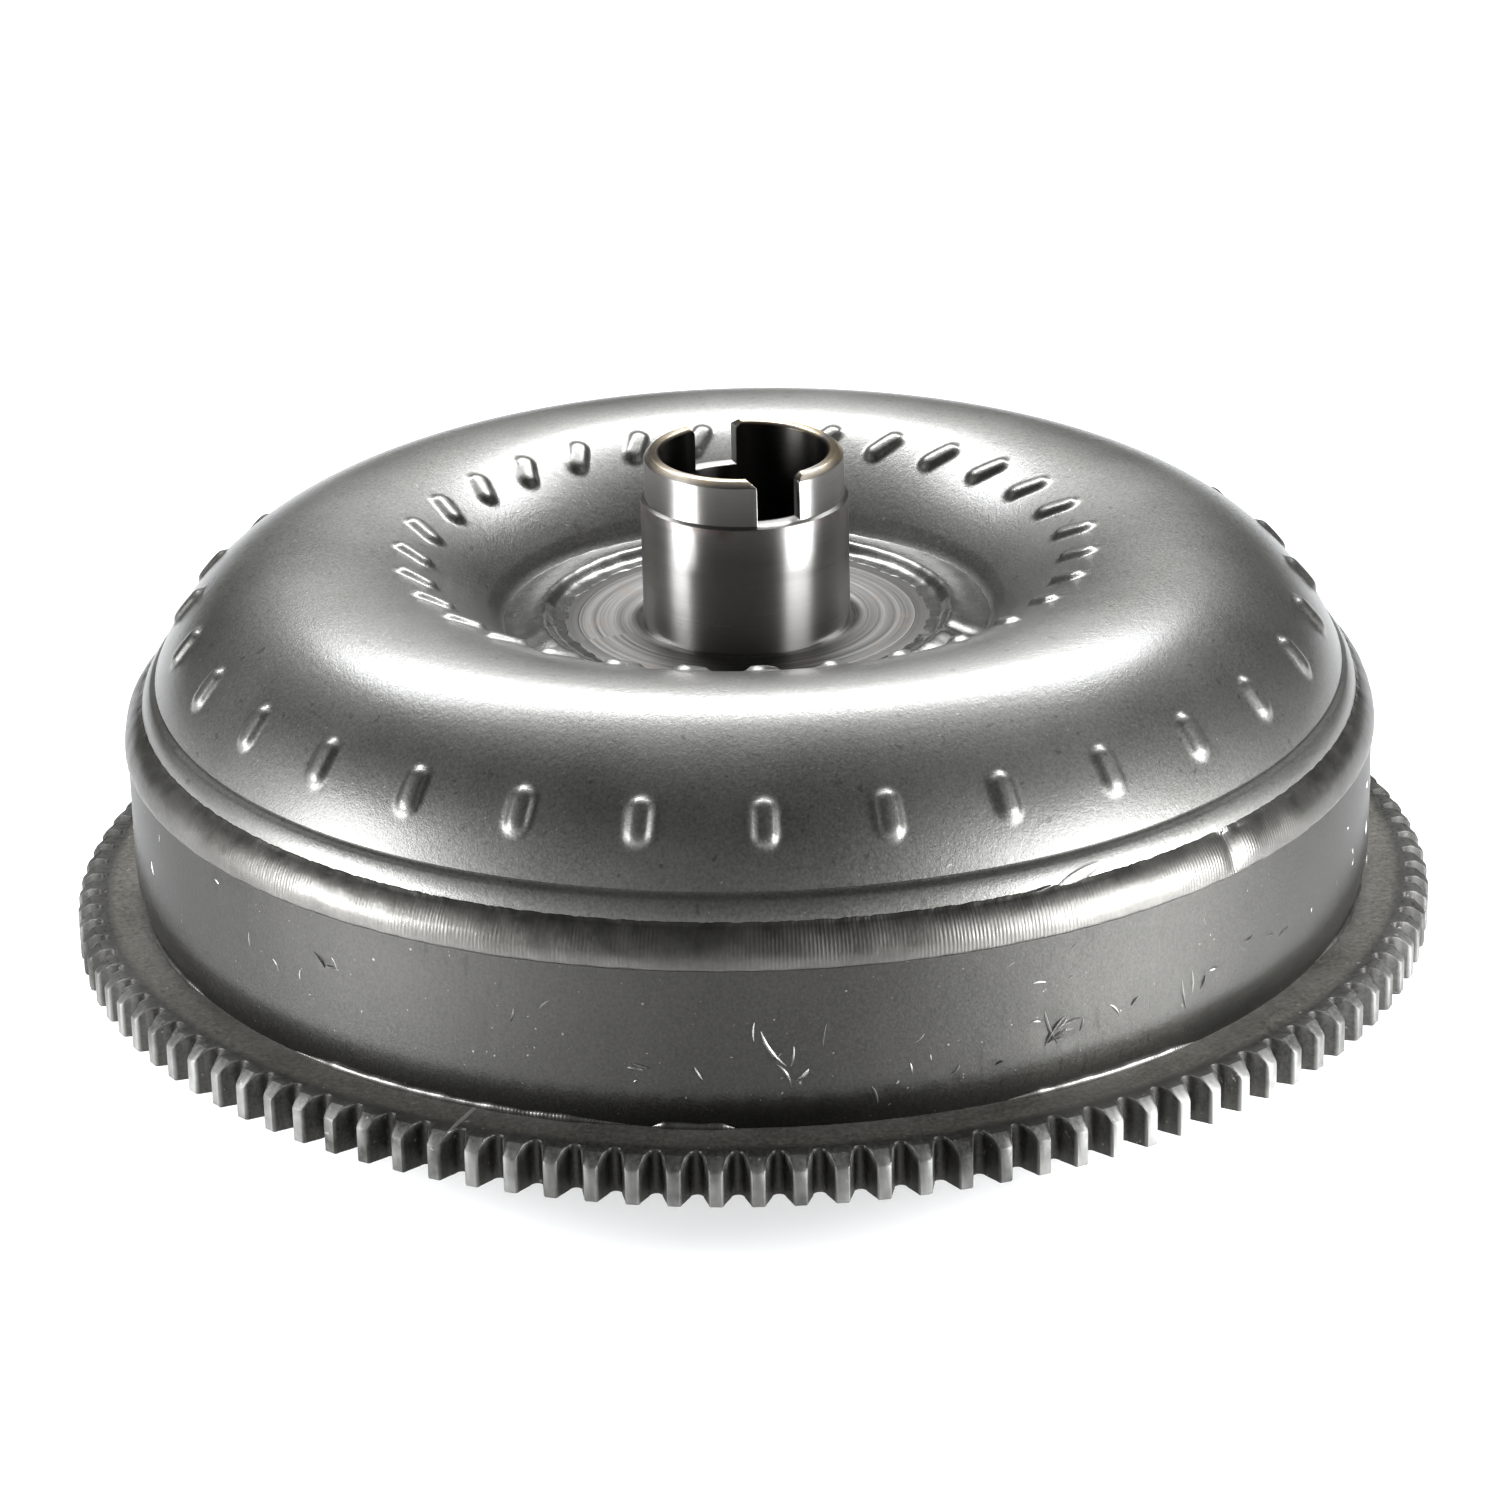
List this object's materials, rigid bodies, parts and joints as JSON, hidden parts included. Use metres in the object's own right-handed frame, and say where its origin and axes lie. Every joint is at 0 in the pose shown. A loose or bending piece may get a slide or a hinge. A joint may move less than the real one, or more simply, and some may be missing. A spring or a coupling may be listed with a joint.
{
  "type": "torque converter",
  "caption": "Lock-up torque converter with a welded starter ring gear and a slotted pump-drive hub, for an automatic transmission.",
  "frame": {"origin": "on the rotation axis, in the plane of the drive pads that bolt to the flexplate", "axes": "+Z along the rotation axis from the engine side towards the transmission side; the two drive slots of the hub lie along +Y and -Y"},
  "size_m": [0.2888, 0.2888, 0.123],
  "materials": {
    "cover_steel": "satin, oiled mill scale",
    "shell_steel": "satin",
    "pad_steel": "satin",
    "gear_steel": "matt phosphate",
    "weld_steel": "as welded",
    "hub_steel": "ground",
    "turned_steel": "turned",
    "pressed_steel": "pressed sheet",
    "spring_steel": "oiled",
    "bronze": "satin",
    "facing": "matt paper friction lining",
    "cast_alloy": "die cast",
    "seal_ring": "matt"
  },
  "bodies": {
    "housing": {"front_cover": "cover_steel", "crank_pilot": "turned_steel", "pilot_bush": "bronze", "drive_pads": "pad_steel", "ring_gear": "gear_steel", "ring_gear_welds": "weld_steel", "girth_weld": "weld_steel", "impeller_shell": "shell_steel", "impeller_blades": "pressed_steel", "impeller_core": "pressed_steel", "impeller_hub": "hub_steel", "hub_weld": "weld_steel", "hub_bearing_race": "turned_steel"},
    "turbine": {"turbine_shell": "pressed_steel", "turbine_blades": "pressed_steel", "turbine_core": "pressed_steel", "turbine_hub": "turned_steel", "turbine_rivets": "turned_steel", "turbine_front_washer": "bronze", "piston_seal": "seal_ring", "damper_flange": "pressed_steel"},
    "damper": {"damper_front_plate": "pressed_steel", "damper_rear_plate": "pressed_steel", "damper_springs": "spring_steel", "damper_stop_pins": "turned_steel"},
    "lockup_piston": {"piston_plate": "pressed_steel", "friction_facing": "facing"},
    "stator": {"stator_wheel": "cast_alloy", "clutch_cam": "turned_steel", "clutch_rollers": "turned_steel", "roller_springs": "spring_steel", "stator_front_cap": "turned_steel", "stator_rear_cap": "turned_steel", "stator_snap_ring": "turned_steel", "stator_thrust_washer": "bronze", "stator_bearing_race": "turned_steel"},
    "stator_race": {"stator_inner_race": "turned_steel"},
    "needle_bearing": {"needle_cage": "bronze", "bearing_needles": "turned_steel"}
  },
  "joints": [
    {"name": "turbine_spin", "type": "hinge", "parent": "housing", "child": "turbine", "pos_m": [0, 0, 0.018], "axis": [0, 0, 1], "continuous": true},
    {"name": "damper_twist", "type": "hinge", "parent": "turbine", "child": "damper", "pos_m": [0, 0, 0.028], "axis": [0, 0, 1], "range_deg": [-6, 6], "stiffness_Nm_per_rad": 400, "deforming": ["damper_springs"]},
    {"name": "piston_apply", "type": "slide", "parent": "damper", "child": "lockup_piston", "axis": [0, 0, -1], "range_m": [0, 0.001]},
    {"name": "stator_spin", "type": "hinge", "parent": "housing", "child": "stator", "pos_m": [0, 0, 0.057], "axis": [0, 0, 1], "continuous": true},
    {"name": "stator_freewheel", "type": "hinge", "parent": "stator", "child": "stator_race", "pos_m": [0, 0, 0.057], "axis": [0, 0, 1], "continuous": true},
    {"name": "needle_bearing_roll", "type": "hinge", "parent": "housing", "child": "needle_bearing", "pos_m": [0, 0, 0.069], "axis": [0, 0, 1], "continuous": true}
  ],
  "couplings": [
    {"joint": "needle_bearing_roll", "follows": "stator_spin", "ratio": 0.5}
  ]
}
